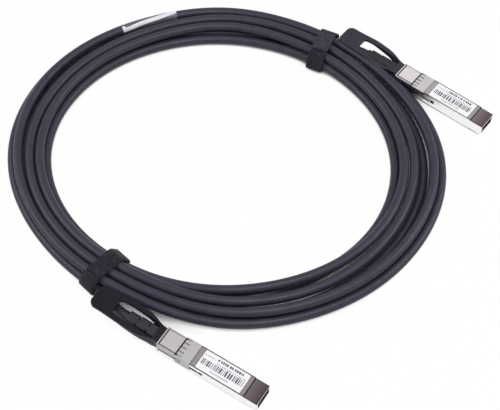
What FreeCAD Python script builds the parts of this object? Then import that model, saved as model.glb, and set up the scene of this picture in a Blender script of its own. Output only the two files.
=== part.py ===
# Direct attach copper cable: a coiled twin-axial cable with a metal plug at each end, two straps round
# the coil and a wrap-around marker. Millimetres, +Z up. The plugs lie on the floor where they were laid.
import FreeCAD
import Part
import math
import os

V = FreeCAD.Vector
os.makedirs("parts", exist_ok=True)

# Driving dimensions
CABLE_R = 3.0                 # jacket radius
FLOOR_GAP = 0.9               # plug underside above the floor, the height of its latch boss

# Coil: inner and outer outlines are ellipses, each given by its centre, its half length and half width,
# and how far it is turned in degrees
COIL_IN_X, COIL_IN_Y = -18.2, 34.1
COIL_IN_A, COIL_IN_B = 105.8, 92.5
COIL_IN_TURN = -12.1
COIL_OUT_X, COIL_OUT_Y = -15.6, 34.6
COIL_OUT_A, COIL_OUT_B = 136.4, 119.2
COIL_OUT_TURN = -14.6
COIL_TOP = 11.4               # two layers of turns, nested
COIL_EDGE = 3.1               # bevel of the coil's edges

# Straps: centre of each, and the direction across the bundle in degrees
STRAP_T = 1.3
STRAP_W = 11.0
STRAP_AT = {"strap_upper": (45.9, 114.0), "strap_lower": (-86.5, -51.5)}
STRAP_TURN = {"strap_upper": 65.4, "strap_lower": 225.5}
STRAP_REACH = {"strap_upper": 15.0, "strap_lower": 13.0}   # from the centre to the outer side
STRAP_FLAP = {"strap_upper": 17.0, "strap_lower": 13.0}    # length of the second layer on top

# Marker wrapped on the outer turn
MARK_T = 0.2
MARK_FROM, MARK_TO = 107.0, 126.0       # bearing of its ends from the coil's centre
MARK_IN = 4.6                           # how far it reaches in over the top
MARK_Z = 3.0                            # height of its lower edge

# Plug: shell. x runs from the rear face to the nose, y to the left, z up from the underside.
PW, PH = 13.4, 8.5
HALF = PW / 2
SPLIT = PH / 2
WALL = 1.0
BLOCK_L = 11.0                # rear block
COLLAR_L = 9.2
PANEL_LEAD = 3.6              # from the collar to the label
LABEL_L = 29.0
SEAM_LEAD = 2.9               # from the label to the seam before the nose
NOSE_L = 8.8
SEAM_GAP = 0.6                # groove before the collar
BLOCK_END = BLOCK_L
COLLAR_A = BLOCK_END + SEAM_GAP
COLLAR_B = COLLAR_A + COLLAR_L
LABEL_A = COLLAR_B + PANEL_LEAD
LABEL_B = LABEL_A + LABEL_L
SEAM = LABEL_B + SEAM_LEAD
TIP = SEAM + NOSE_L
NOSE_DROP = 0.4
NOSE_INSET = 0.05
MOUTH_WALL = 0.9
RECESS = 0.3                  # depth of the panel that takes the rating label
LIP = 0.4                     # rim beside that panel
SHELL_BEVEL = 0.25
STEP = 0.2                    # behind the collar's front edge

# Side grooves for the slider
GROOVE_Y = 5.3                # inner wall
GROOVE_Z0, GROOVE_Z1 = 3.0, 5.5
GROOVE_L = 18.5               # past the rear block
GROOVE_END = BLOCK_END + GROOVE_L
CAV_GAP = 0.7                 # shell left between the groove and the cavity
CAV_Y = GROOVE_Y - CAV_GAP    # cavity half width beside the grooves
CAV_Y2 = HALF - WALL          # cavity half width ahead of them
REAR_WALL = 1.5

# Conductors and the ferrule on the cable's end
PAIR_R, PAIR_Y = 0.62, 0.7
PAIR_L = 5.0                  # along the board
FERRULE_R, FERRULE_L, FERRULE_GAP = 3.2, 2.0, 0.2

# Circuit board
BOARD_T = 1.0
BOARD_Z = 3.6
BOARD_A = 8.0
BOARD_BACK = 1.5              # the tongue's end, behind the shell's
BOARD_GAP = 0.1
BOARD_B = TIP - BOARD_BACK
TONGUE_Y, TONGUE_L = 4.6, 9.6
TONGUE_BEVEL = 0.25
PAD_W, PAD_L, PAD_T = 0.56, 3.5, 0.06
PAD_PITCH, PAD_BACK, PAD_SHORT = 0.8, 0.7, 0.5
CHIP_L, CHIP_W, CHIP_H = 4.0, 4.0, 0.9
CAP_L, CAP_W, CAP_PITCH = 1.0, 0.5, 1.6
CHIP_LEAD, CAP_LEAD, CAP_TRAIL = 6.0, 13.0, 8.0    # ahead of the screw, and behind it
PADS = 10                     # on each side of the tongue
SHORT_PADS = (3, 6)
RIB_L = 1.5                   # board supports
RIB_LEAD, RIB_TRAIL = 4.0, 6.3         # from the rear block, and back from the seam
RIBS = (BLOCK_END + RIB_LEAD, SEAM - RIB_TRAIL)

# Screw through the board
SCREW_BACK = 21.4             # behind the label's front end
SCREW_X = LABEL_B - SCREW_BACK
SCREW_R, SCREW_HEAD_R, SCREW_HEAD_H = 0.7, 1.2, 0.8
SCREW_TIP = 1.9               # below the shell's top
SCREW_GAP = 0.03
SCREW_SUNK = 0.1              # head below the shell's underside
SLOT_W, SLOT_D = 0.32, 0.35
BOSS_R = 1.5

# Latch boss under the plug
LATCH_X, LATCH_L, LATCH_TOE, LATCH_W = 43.5, 3.5, 0.8, 2.8

# Collar
COLLAR_T = 0.25
COLLAR_GAP = 0.02
FINGER_SLOTS = (-2.9, 0.0, 2.9)
SLOT_HALF, SLOT_L = 0.35, 3.2
CORNER_SLOT, CORNER_HALF = 5.5, 0.5

# Label
LABEL_T, LABEL_CORNER = 0.12, 0.5

# Slider
TRAVEL = 2.0
ARM_T = 1.0
CLEAR = 0.05
FRAME_T = 0.8
FRAME_X = -1.4                # rear face of the slider's cross frame
SPRING_ROOM = 6.4
SPRING_A = BLOCK_END + 1.0    # wall that the spring pushes on
LUG_X, LUG_L = SPRING_A + SPRING_ROOM, 0.8
ARM_END = GROOVE_END - 2.5
CATCH_L, CATCH_OUT, CATCH_H = 3.0, 0.4, 1.7
RAIL_GAP, RAIL_DROP = 0.3, 0.5         # to the collar, and below the top

# Return springs
SPRING_R, SPRING_WIRE = 0.52, 0.1      # outer radius, half the wire's width
SPRING_TURNS, SPRING_STEPS = 4.0, 10   # turns, and straight steps in each
SPRING_END = 0.12                      # from the wire's centre to what the spring pushes on
SPRING_Z = 2.25
POCKET_Z = 0.75                        # half height of its pocket

# Strain relief
NECK_Y, NECK_Z = 4.0, SPLIT - WALL      # half sizes of the neck through the rear wall
NECK_BACK = -3.8
NECK_GAP = 0.03
NECK_ROOM = 0.35              # round it, inside the slider's frame
FLANGE_T = 1.5
BOOT_RIBS = ((-10.7, -3.8, 4.35, 3.4), (-17.9, -11.6, 4.1, 3.4), (-25.1, -18.8, 3.85, 3.4))
BOOT_CORE = 3.45
BOOT_BEVEL = 1.2
FLANGE_GAP = 0.1              # round the flange, inside the cavity
BOOT_END = -27.4
BOOT_ROOM = 2.6               # between its end and the coil

# Pull tab: half widths along it, the window inside, and its height along its upper and lower sides
PULL_ROOM = 0.6               # clear of what it moves past
TAB_END = -47.4
TAB_OUTLINE = ((-6.0, 5.6), (-12.0, 7.5), (-18.0, 8.2), (-26.0, 8.2))
TAB_NECK = 5.2                # half width at the slider
TAB_HALF = 7.7                # and at the end
TAB_CORNER = 4.0
TAB_T = 1.7
TAB_TOP = 11.4
TAB_WIN_A, TAB_WIN_B = -33.0, -5.5
TAB_WINDOW = ((-9.0, 5.1), (-15.0, 5.3), (-24.0, 5.1))
TAB_WIN_END = 4.3
TAB_WIN_CORNER = 1.6
TAB_UPPER = ((FRAME_X, PH - 0.2), (-9.0, PH + 0.9), (-26.0, TAB_TOP), (TAB_END - 1, TAB_TOP))
TAB_LOWER = ((TAB_END - 1, TAB_TOP - TAB_T), (-27.0, TAB_TOP - TAB_T), (-14.0, 6.2), (-8.5, 3.0), (-6.0, 0.5),
             (FRAME_X, 0.5))

# Where each plug lies: rear centre, bearing in degrees, and the side its lead bends to
PLUGS = ("a", "b")
PLUG_AT = {"a": (-47.5, -93.2), "b": (99.0, 98.2)}
PLUG_TURN = {"a": -32.7, "b": -38.9}
LEAD_SIDE = {"a": 1, "b": -1}
LEAD_START = 5.0
LEAD_BEND_X = -31.0
LEAD_END = (-50.2, 5.3, 3.6)


def box(x0, x1, y0, y1, z0, z1):
    return Part.makeBox(x1 - x0, y1 - y0, z1 - z0, V(x0, y0, z0))


def sbox(x0, x1, half, z0, z1):
    return box(x0, x1, -half, half, z0, z1)


def rod(r, x0, x1, y, z):
    return Part.makeCylinder(r, x1 - x0, V(x0, y, z), V(1, 0, 0))


def post(r, z0, z1, x, y):
    return Part.makeCylinder(r, z1 - z0, V(x, y, z0), V(0, 0, 1))


def both(shape):
    return shape.mirror(V(0, 0, 0), V(0, 1, 0))


def fuse(shapes):
    s = shapes[0]
    for t in shapes[1:]:
        s = s.fuse(t)
    return s.removeSplitter()


def along(shape, axis):
    """Edges of a box that run along one axis."""
    out = []
    for e in shape.Edges:
        if e.Curve.TypeId == "Part::GeomLine":
            d = e.Vertexes[1].Point.sub(e.Vertexes[0].Point)
            if abs(abs(d.normalize().dot(axis)) - 1) < 1e-6:
                out.append(e)
    return out


def oval(x, y, half_length, half_width, turn, z0, z1):
    """An elliptical disc. It may be longer either way."""
    long, short = max(half_length, half_width), min(half_length, half_width)
    f = Part.Face(Part.Wire(Part.Ellipse(V(0, 0, 0), long, short).toShape()))
    f.rotate(V(0, 0, 0), V(0, 0, 1), turn if long == half_length else turn + 90)
    f.translate(V(x, y, z0))
    return f.extrude(V(0, 0, z1 - z0))


def ellipse_ring(grow, z0, z1):
    """The coil's shape between its two outlines, grown evenly by an amount, its bevelled rims too."""
    outer = oval(COIL_OUT_X, COIL_OUT_Y, COIL_OUT_A + grow, COIL_OUT_B + grow, COIL_OUT_TURN, z0, z1)
    inner = oval(COIL_IN_X, COIL_IN_Y, COIL_IN_A - grow, COIL_IN_B - grow, COIL_IN_TURN, z0, z1)
    ring = outer.cut(inner)
    rims = [e for e in ring.Edges if e.Curve.TypeId != "Part::GeomLine"]
    return ring.makeChamfer(COIL_EDGE + (2 - math.sqrt(2)) * grow, rims)


def place(shape, plug):
    s = shape.copy()
    s.rotate(V(0, 0, 0), V(0, 0, 1), PLUG_TURN[plug])
    s.translate(V(*PLUG_AT[plug], FLOOR_GAP))
    return s


# Shells

def shell_outline():
    over = PH + 1
    rear = sbox(0, BLOCK_END, HALF, 0, PH)
    for side in (1, -1):
        notch = box(-1, BLOCK_END, GROOVE_Y, HALF + 1, GROOVE_Z0, over)
        rear = rear.cut(notch if side > 0 else both(notch))
    skin = COLLAR_T + CLEAR
    waist = sbox(BLOCK_END, COLLAR_B + STEP, HALF - COLLAR_T, skin, PH - skin)
    body = sbox(COLLAR_B + STEP, SEAM, HALF, 0, PH)
    body = body.makeChamfer(SHELL_BEVEL, along(body, V(1, 0, 0)))
    body = body.cut(sbox(COLLAR_B + 3 * STEP, SEAM - SEAM_GAP / 2, HALF - LIP, PH - RECESS, over))
    nose = sbox(SEAM, TIP, HALF - NOSE_INSET, NOSE_DROP, PH - NOSE_DROP)
    nose = nose.makeChamfer(SHELL_BEVEL, along(nose, V(1, 0, 0)))
    s = fuse([rear, waist, body, nose])
    for side in (1, -1):
        g = box(SPRING_A - 3.5, GROOVE_END, GROOVE_Y, HALF + 1, GROOVE_Z0, GROOVE_Z1)
        p = box(SPRING_A, LUG_X + LUG_L + 2 * CLEAR, GROOVE_Y - CLEAR, HALF + 1, SPRING_Z - POCKET_Z,
                GROOVE_Z0 + 2 * CLEAR)
        s = s.cut(g if side > 0 else both(g)).cut(p if side > 0 else both(p))
    return s


def cavity():
    back = sbox(REAR_WALL, GROOVE_END + WALL, CAV_Y, WALL, PH - WALL)
    front = sbox(GROOVE_END + WALL, SEAM, CAV_Y2, WALL, PH - WALL)
    mouth = sbox(SEAM - WALL, TIP + 1, CAV_Y2, NOSE_DROP + MOUTH_WALL, PH - NOSE_DROP - MOUTH_WALL)
    neck = sbox(-1, REAR_WALL + 2 * CLEAR, NECK_Y, SPLIT - NECK_Z, SPLIT + NECK_Z)
    return fuse([back, front, mouth, neck])


def shell_top():
    s = shell_outline().cut(cavity()).common(box(-1, TIP + 1, -PW, PW, SPLIT, PH + 1))
    top_of_board = BOARD_Z + BOARD_T
    for x in RIBS:
        for side in (1, -1):
            r = box(x, x + RIB_L, CAV_Y / 2, CAV_Y, top_of_board, PH - WALL)
            s = s.fuse(r if side > 0 else both(r))
    s = s.fuse(post(BOSS_R, top_of_board, PH - WALL, SCREW_X, 0))
    s = s.cut(post(SCREW_R, 0, PH - WALL - SCREW_R / 2, SCREW_X, 0))
    return s.removeSplitter()


def shell_bottom():
    s = shell_outline().cut(cavity()).common(box(-1, TIP + 1, -PW, PW, -1, SPLIT))
    for x in RIBS:
        s = s.fuse(sbox(x, x + RIB_L, CAV_Y - WALL, WALL, BOARD_Z))
    s = s.fuse(post(BOSS_R, WALL, BOARD_Z, SCREW_X, 0))
    s = s.cut(post(SCREW_R, -1, SPLIT, SCREW_X, 0))
    s = s.cut(post(SCREW_HEAD_R, -1, SCREW_HEAD_H, SCREW_X, 0))
    # latch boss: a wedge that the cage's tongue drops over
    y, front = -LATCH_W / 2, LATCH_X + LATCH_L
    corners = [V(LATCH_X, y, 2 * CLEAR), V(front, y, 2 * CLEAR), V(front, y, -FLOOR_GAP),
               V(front - LATCH_TOE, y, -FLOOR_GAP)]
    wedge = Part.Face(Part.makePolygon(corners + corners[:1]))
    s = s.fuse(wedge.extrude(V(0, LATCH_W, 0)))
    return s.removeSplitter()


def circuit_board():
    z0, z1 = BOARD_Z, BOARD_Z + BOARD_T
    wide_from, wide_to = GROOVE_END + WALL + BOARD_GAP, BOARD_B - TONGUE_L
    s = fuse([sbox(BOARD_A, wide_from, CAV_Y - BOARD_GAP, z0, z1),
              sbox(wide_from, wide_to, CAV_Y2 - BOARD_GAP, z0, z1),
              sbox(wide_to, BOARD_B, TONGUE_Y, z0, z1)])
    edge = [e for e in s.Edges if abs(e.CenterOfMass.x - BOARD_B) < 1e-6 and e.Length > TONGUE_Y]
    s = s.makeChamfer(TONGUE_BEVEL, edge)
    return s.cut(post(SCREW_R + BOARD_GAP, z0 - 1, z1 + 1, SCREW_X, 0))


def board_contacts():
    pads = []
    for i in range(PADS):
        y = (i - (PADS - 1) / 2) * PAD_PITCH
        front = BOARD_B - PAD_BACK - (PAD_SHORT if i in SHORT_PADS else 0.0)
        for z in (BOARD_Z + BOARD_T, BOARD_Z - PAD_T):
            pads.append(box(front - PAD_L, front, y - PAD_W / 2, y + PAD_W / 2, z, z + PAD_T))
    return Part.makeCompound(pads)


def board_components():
    """The memory chip, four capacitors ahead of it and two behind the screw."""
    z = BOARD_Z + BOARD_T
    chip, row, rear = SCREW_X + CHIP_LEAD, SCREW_X + CAP_LEAD, SCREW_X - CAP_TRAIL
    parts = [box(chip, chip + CHIP_L, -CHIP_W / 2, CHIP_W / 2, z, z + CHIP_H)]
    for i in range(4):
        y = (i - 1.5) * CAP_PITCH
        parts.append(box(row, row + CAP_L, y - CAP_W / 2, y + CAP_W / 2, z, z + CAP_W))
    for y in (-CAP_PITCH, CAP_PITCH):
        parts.append(box(rear, rear + CAP_L, y - CAP_W / 2, y + CAP_W / 2, z, z + CAP_W))
    return Part.makeCompound(parts)


def conductor_pairs():
    r, x0, x1 = PAIR_R, LEAD_START, BOARD_A + PAIR_L
    rods = []
    for y in (PAIR_Y, -PAIR_Y):
        rods.append(rod(r, x0, x1, y, BOARD_Z + BOARD_T + r))
        rods.append(rod(r, x0, x1, y, BOARD_Z - r))
    return Part.makeCompound(rods)


def crimp_ferrule():
    x0 = REAR_WALL + FLANGE_T + FERRULE_GAP
    x1 = x0 + FERRULE_L
    return rod(FERRULE_R, x0, x1, 0, SPLIT).cut(rod(CABLE_R, x0 - 1, x1 + 1, 0, SPLIT))


def emi_collar():
    y0 = HALF - COLLAR_T + COLLAR_GAP
    z0, z1 = COLLAR_T + CLEAR - COLLAR_GAP, PH - COLLAR_T - CLEAR + COLLAR_GAP
    s = sbox(COLLAR_A, COLLAR_B, HALF, z0 - COLLAR_T + COLLAR_GAP, z1 + COLLAR_T - COLLAR_GAP)
    s = s.makeChamfer(SHELL_BEVEL, along(s, V(1, 0, 0)))
    s = s.cut(sbox(COLLAR_A - 1, COLLAR_B + 1, y0, z0, z1))
    # slots between the spring fingers, at its rear edge
    for y in FINGER_SLOTS:
        s = s.cut(box(COLLAR_A - 1, COLLAR_A + SLOT_L, y - SLOT_HALF, y + SLOT_HALF, -1, PH + 1))
    for y in (-CORNER_SLOT, CORNER_SLOT):
        y0, y1 = y - CORNER_HALF, y + CORNER_HALF
        s = s.cut(box(COLLAR_A + SEAM_GAP, COLLAR_A + SLOT_L, y0, y1, PH - 1, PH + 1))
    for z in (GROOVE_Z0, GROOVE_Z1):
        s = s.cut(box(COLLAR_A - 1, COLLAR_A + SLOT_L, -PW, PW, z - SLOT_HALF, z + SLOT_HALF))
    return s


def screw():
    s = post(SCREW_HEAD_R - SCREW_GAP, SCREW_SUNK, SCREW_HEAD_H, SCREW_X, 0)
    s = s.fuse(post(SCREW_R, SCREW_HEAD_H, PH - SCREW_TIP, SCREW_X, 0))
    reach = 0.75 * SCREW_HEAD_R
    s = s.cut(sbox(SCREW_X - reach, SCREW_X + reach, SLOT_W / 2, -1, SCREW_SUNK + SLOT_D))
    return s.cut(sbox(SCREW_X - SLOT_W / 2, SCREW_X + SLOT_W / 2, reach, -1, SCREW_SUNK + SLOT_D))


def rating_label():
    z = PH - RECESS
    s = sbox(LABEL_A, LABEL_B, HALF - LIP - SHELL_BEVEL, z, z + LABEL_T)
    return s.makeFillet(LABEL_CORNER, along(s, V(0, 0, 1)))


# Slider, springs and pull tab

def release_slider():
    y0, y1 = GROOVE_Y + CLEAR, GROOVE_Y + CLEAR + ARM_T
    z0, z1 = GROOVE_Z0 + CLEAR, GROOVE_Z1 - CLEAR
    front = FRAME_X + FRAME_T
    opening = sbox(FRAME_X - 1, front + 1, NECK_Y + NECK_ROOM, SPLIT - NECK_Z - NECK_ROOM,
                   SPLIT + NECK_Z + NECK_ROOM)
    frame = sbox(FRAME_X, front, y1, 2 * CLEAR, PH - 2 * CLEAR).cut(opening)
    rail = box(front - 2 * CLEAR, BLOCK_END - RAIL_GAP, y0, y1, z0, PH - RAIL_DROP)
    skin = y1 - 2 * CLEAR
    arm = box(BLOCK_END - 2 * RAIL_GAP, ARM_END, y0, skin, z0, z1)
    lug = box(LUG_X, LUG_X + LUG_L, y0, skin, SPRING_Z - SPRING_R, GROOVE_Z0 + 4 * CLEAR)
    low = (z0 + z1 - CATCH_H) / 2
    ramp = [V(ARM_END - CATCH_L, skin, low), V(ARM_END, skin, low), V(ARM_END, skin + CATCH_OUT, low)]
    tip = Part.Face(Part.makePolygon(ramp + ramp[:1])).extrude(V(0, 0, CATCH_H))
    side = fuse([rail, arm, lug, tip])
    return fuse([frame, side, both(side)])


def return_spring(side):
    """A compression coil of square wire along x, between the shell's pocket wall and the slider's lug."""
    r = SPRING_R - SPRING_WIRE
    length = LUG_X - SPRING_A - 2 * SPRING_END
    steps = int(SPRING_TURNS * SPRING_STEPS)
    points = []
    for i in range(steps + 1):
        turned = 2 * math.pi * i / SPRING_STEPS
        x = SPRING_A + SPRING_END + length * i / steps
        points.append(V(x, r * math.cos(turned), r * math.sin(turned)))
    start = points[0]
    out = V(0, 1, 0)
    across = points[1].sub(start).cross(out).normalize()
    corners = []
    for i, k in ((-1, -1), (1, -1), (1, 1), (-1, 1), (-1, -1)):
        corners.append(start + V(out).multiply(i * SPRING_WIRE) + V(across).multiply(k * SPRING_WIRE))
    s = Part.makePolygon(points).makePipeShell([Part.makePolygon(corners)], True, False, 1)
    s.translate(V(0, side * (GROOVE_Y + CLEAR + ARM_T / 2 - CLEAR), SPRING_Z))
    return s


def bean(outline, start, start_half, end, end_half, z0, z1):
    """A flat shape, the same on both sides of y 0, whose sides are smooth curves through an outline."""
    left = [V(start, start_half, z0)] + [V(x, y, z0) for x, y in outline] + [V(end, end_half, z0)]
    right = [V(p.x, -p.y, z0) for p in reversed(left)]
    edges = []
    for points in (left, right):
        curve = Part.BSplineCurve()
        curve.interpolate(points)
        edges.append(curve.toShape())
    edges.insert(1, Part.makeLine(left[-1], right[0]))
    edges.append(Part.makeLine(right[-1], left[0]))
    return Part.Face(Part.Wire(edges)).extrude(V(0, 0, z1 - z0))


def pull_tab():
    high = TAB_TOP + 1
    s = bean(TAB_OUTLINE, FRAME_X, TAB_NECK, TAB_END, TAB_HALF, 0, high)
    ends = [e for e in along(s, V(0, 0, 1)) if abs(e.CenterOfMass.x - TAB_END) < 1e-6]
    s = s.makeFillet(TAB_CORNER, ends)
    rib = BOOT_RIBS[0]
    window = bean(TAB_WINDOW, TAB_WIN_B, rib[2] + NECK_ROOM, TAB_WIN_A, TAB_WIN_END, -1, high + 1)
    ends = [e for e in along(window, V(0, 0, 1)) if abs(e.CenterOfMass.x - TAB_WIN_A) < 1e-6]
    s = s.cut(window.makeFillet(TAB_WIN_CORNER, ends))
    # room for the strain relief, from below
    s = s.cut(sbox(TAB_WIN_B - 1, 1, rib[2] + NECK_ROOM, -1, SPLIT + rib[3] + NECK_ROOM))
    side = TAB_UPPER + TAB_LOWER + TAB_UPPER[:1]
    wire = Part.makePolygon([V(x, -PW, z) for x, z in side])
    return s.common(Part.Face(wire).extrude(V(0, 2 * PW, 0))).removeSplitter()


def strain_relief():
    neck_z, flange_z = NECK_Z - NECK_GAP, SPLIT - WALL - FLANGE_GAP / 2
    parts = [sbox(NECK_BACK - 0.5, REAR_WALL, NECK_Y - NECK_GAP, SPLIT - neck_z, SPLIT + neck_z),
             sbox(REAR_WALL, REAR_WALL + FLANGE_T, CAV_Y - FLANGE_GAP, SPLIT - flange_z, SPLIT + flange_z),
             rod(BOOT_CORE, BOOT_END, NECK_BACK, 0, SPLIT)]
    for x0, x1, y, z in BOOT_RIBS:
        b = sbox(x0, x1, y, SPLIT - z, SPLIT + z)
        parts.append(b.makeChamfer(BOOT_BEVEL, along(b, V(1, 0, 0))))
    s = fuse(parts)
    return s.cut(rod(CABLE_R, BOOT_END - 1, LEAD_START, 0, SPLIT))


# Cord

def tube(points, r):
    """Straight runs joined by tangent arcs. Prints each arc's radius, the length and a volume check."""
    edges, start, length = [], points[0], 0.0
    for i in range(1, len(points) - 1):
        a, b, c = points[i - 1], points[i], points[i + 1]
        u, w = b.sub(a), c.sub(b)
        short = min(u.Length, w.Length)
        u.normalize()
        w.normalize()
        half = u.getAngle(w) / 2
        cut = 0.45 * short
        radius = cut / math.tan(half)
        p, q = b.sub(V(u).multiply(cut)), b.add(V(w).multiply(cut))
        m = b.add(w.sub(u).normalize().multiply(radius / math.cos(half) - radius))
        edges.append(Part.LineSegment(start, p).toShape())
        edges.append(Part.Arc(p, m, q).toShape())
        length += start.distanceToPoint(p) + radius * 2 * half
        start = q
        print("bend radius %.1f, turn %.1f degrees" % (radius, math.degrees(2 * half)))
    edges.append(Part.LineSegment(start, points[-1]).toShape())
    length += start.distanceToPoint(points[-1])
    path = Part.Wire(edges)
    first = points[1].sub(points[0])
    ring = Part.Wire(Part.makeCircle(r, points[0], first))
    s = path.makePipeShell([ring], True, False)
    print("lead %.1f long, volume ratio %.4f" % (length, s.Volume / (math.pi * r * r * length)))
    return s


def cable_lead(plug):
    x, y, z = LEAD_END
    pts = [V(LEAD_START, 0, SPLIT), V(LEAD_BEND_X, 0, SPLIT), V(x, LEAD_SIDE[plug] * y, z)]
    return place(tube(pts, CABLE_R), plug)


def strap(name):
    """A band round the bundle, and its free end pressed down on it as a second layer."""
    reach = 3 * COIL_TOP
    slab = box(-reach, reach, -STRAP_W / 2, STRAP_W / 2, -1, reach)
    start = STRAP_REACH[name] - STRAP_FLAP[name]
    flap = box(start, start + reach, -STRAP_W / 2, STRAP_W / 2, COIL_TOP, reach)
    for s in (slab, flap):
        s.rotate(V(0, 0, 0), V(0, 0, 1), STRAP_TURN[name])
        s.translate(V(*STRAP_AT[name], 0))
    outer = ellipse_ring(STRAP_T, 0, COIL_TOP + STRAP_T)
    inner = ellipse_ring(0, STRAP_T, COIL_TOP)
    band = outer.cut(inner).common(slab)
    lid = ellipse_ring(2 * STRAP_T, 0, COIL_TOP + 2 * STRAP_T).cut(outer)
    return band, lid.common(flap)


def marker():
    skin = ellipse_ring(MARK_T, -MARK_T, COIL_TOP + MARK_T).cut(ellipse_ring(0, 0, COIL_TOP))
    centre = V(COIL_OUT_X, COIL_OUT_Y, MARK_Z)
    corners = [centre]
    for bearing in (MARK_FROM, (MARK_FROM + MARK_TO) / 2, MARK_TO):
        a = math.radians(bearing)
        corners.append(centre + V(math.cos(a), math.sin(a), 0).multiply(2 * COIL_OUT_A))
    wedge = Part.Face(Part.makePolygon(corners + corners[:1])).extrude(V(0, 0, COIL_TOP))
    length, width, high = COIL_OUT_A - MARK_IN, COIL_OUT_B - MARK_IN, 2 * COIL_TOP
    return skin.common(wedge).cut(oval(COIL_OUT_X, COIL_OUT_Y, length, width, COIL_OUT_TURN, -1, high))


def coil(straps):
    s = ellipse_ring(0, 0, COIL_TOP)
    for b in straps:
        s = s.cut(b)
    high = 2 * COIL_TOP
    back = TAB_END - TRAVEL - PULL_ROOM
    wide = max(half for x, half in TAB_OUTLINE) + PULL_ROOM
    for plug in PLUGS:
        # room for the plug and its strain relief, for the pull tab's arms, and for its plate
        s = s.cut(place(sbox(BOOT_END - BOOT_ROOM, TIP, GROOVE_Y, -2, high), plug))
        s = s.cut(place(sbox(BOOT_RIBS[1][1] - 2 * TRAVEL, TIP, HALF + 2 * PULL_ROOM, -2, high), plug))
        s = s.cut(place(sbox(TAB_WIN_A - 1, 0, wide, SPLIT - CABLE_R / 8, high), plug))
        s = s.cut(place(sbox(back, 0, wide, TAB_TOP - TAB_T - PULL_ROOM, high), plug))
    return max(s.Solids, key=lambda b: b.Volume)


def save(name, shape, shift):
    s = shape.copy()
    s.translate(shift)
    if not s.isValid():
        print("not valid:", name)
    s.exportStep("parts/%s.step" % name)
    print("%-26s solids %d volume %.1f" % (name, len(s.Solids), s.Volume))


def main():
    nodes = {}
    makers = {"shell_top": shell_top, "shell_bottom": shell_bottom, "circuit_board": circuit_board,
              "board_contacts": board_contacts, "board_components": board_components,
              "conductor_pairs": conductor_pairs, "crimp_ferrule": crimp_ferrule, "emi_collar": emi_collar,
              "shell_screw": screw, "rating_label": rating_label, "release_slider": release_slider,
              "pull_tab": pull_tab, "strain_relief": strain_relief}
    for name, make in makers.items():
        shape = make()
        for plug in PLUGS:
            nodes[name + "_" + plug] = place(shape, plug)
    for plug in PLUGS:
        nodes["return_spring_left_" + plug] = place(return_spring(1), plug)
        nodes["return_spring_right_" + plug] = place(return_spring(-1), plug)
    loose = []
    for name in STRAP_AT:
        band, flap = strap(name)
        nodes[name] = fuse([band, flap])
        loose.append(band)
    nodes["wrap_marker"] = marker()
    cord = {"cable_coil": coil(loose)}
    for plug in PLUGS:
        cord["cable_lead_" + plug] = cable_lead(plug)
    boxes = [s.optimalBoundingBox(False) for s in nodes.values()]
    x0, x1 = min(b.XMin for b in boxes), max(b.XMax for b in boxes)
    y0, y1 = min(b.YMin for b in boxes), max(b.YMax for b in boxes)
    z0 = min(b.ZMin for b in boxes)
    print("pieces other than the cord: x %.3f %.3f y %.3f %.3f z %.3f" % (x0, x1, y0, y1, z0))
    shift = V(-(x0 + x1) / 2, -(y0 + y1) / 2, 0)
    print("shift %.4f %.4f" % (shift.x, shift.y))
    nodes.update(cord)
    for name, shape in nodes.items():
        save(name, shape, shift)


main()
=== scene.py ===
# Looks of a direct attach copper cable: its coiled cord, straps, marker, and the finish of both plugs.
# Sizes and places are in millimetres and MM turns them into Blender's metres, unless a comment says otherwise.
import math
import random

import bpy
import numpy as np
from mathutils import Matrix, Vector


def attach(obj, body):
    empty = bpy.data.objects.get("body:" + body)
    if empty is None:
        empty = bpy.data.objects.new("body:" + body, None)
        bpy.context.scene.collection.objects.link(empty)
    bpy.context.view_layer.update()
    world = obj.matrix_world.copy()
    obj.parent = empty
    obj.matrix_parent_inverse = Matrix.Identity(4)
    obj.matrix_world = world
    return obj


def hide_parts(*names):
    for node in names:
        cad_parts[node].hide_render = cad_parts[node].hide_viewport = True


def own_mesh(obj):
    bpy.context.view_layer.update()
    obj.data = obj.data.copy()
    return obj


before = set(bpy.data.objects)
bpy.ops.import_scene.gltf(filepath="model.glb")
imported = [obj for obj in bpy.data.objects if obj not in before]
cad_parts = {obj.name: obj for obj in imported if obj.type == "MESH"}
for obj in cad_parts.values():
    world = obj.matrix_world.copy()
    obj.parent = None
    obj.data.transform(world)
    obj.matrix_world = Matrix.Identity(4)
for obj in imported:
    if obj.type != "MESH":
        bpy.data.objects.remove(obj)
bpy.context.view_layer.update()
random.seed(7)

MM = 0.001

# Where each plug lies, from the CAD: rear centre x, y, bearing in degrees, and the side its lead bends to.
PLUG_PLACE = {"a": (-74.8141, -102.5530, -32.7, 1.0), "b": (71.6859, 88.8470, -38.9, -1.0)}
PLUG_FLOOR_GAP = 0.9
AXIS_HEIGHT = 4.25

# Leads, in the plug's own axes: where the route starts in the strain relief, where its straight run ends, and
# where it comes to the coil, as x, how far sideways, and height
LEAD_START, LEAD_STRAIGHT_END = -20.0, -31.0
LEAD_TO_COIL = (-50.2, 5.3, 3.6)

# Camera, in the photograph's place
CAMERA_TARGET = (-27.3141, -9.3530, 0.0)
CAMERA_ELEVATION = 57.0
CAMERA_DISTANCE = 681.0
FOCAL_PIXELS = 1119.0
PICTURE_WIDTH = 500.0
SENSOR_MM = 36.0

# Cord
CORD_R = 3.0
STRAP_T = 1.3
STRAP_W = 11.0
OUTLINE_CENTRE = (-42.9141, 25.2470)
INNER = (-45.5141, 24.7470, 105.8, 92.5, -12.1)   # centre x, y, half length, half width, turn in degrees
OUTER = (-42.9141, 25.2470, 136.4, 119.2, -14.6)
TURN_STEPS = 36                                   # points of the cord's spline in each turn
STATIONS = 12                                     # places in each turn where the lanes below are chosen
FIRST_BEARING = 240.0                             # bearing of the first station; the turns run clockwise
LOW, HIGH = 3.0, 8.4                              # heights of the two layers
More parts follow.
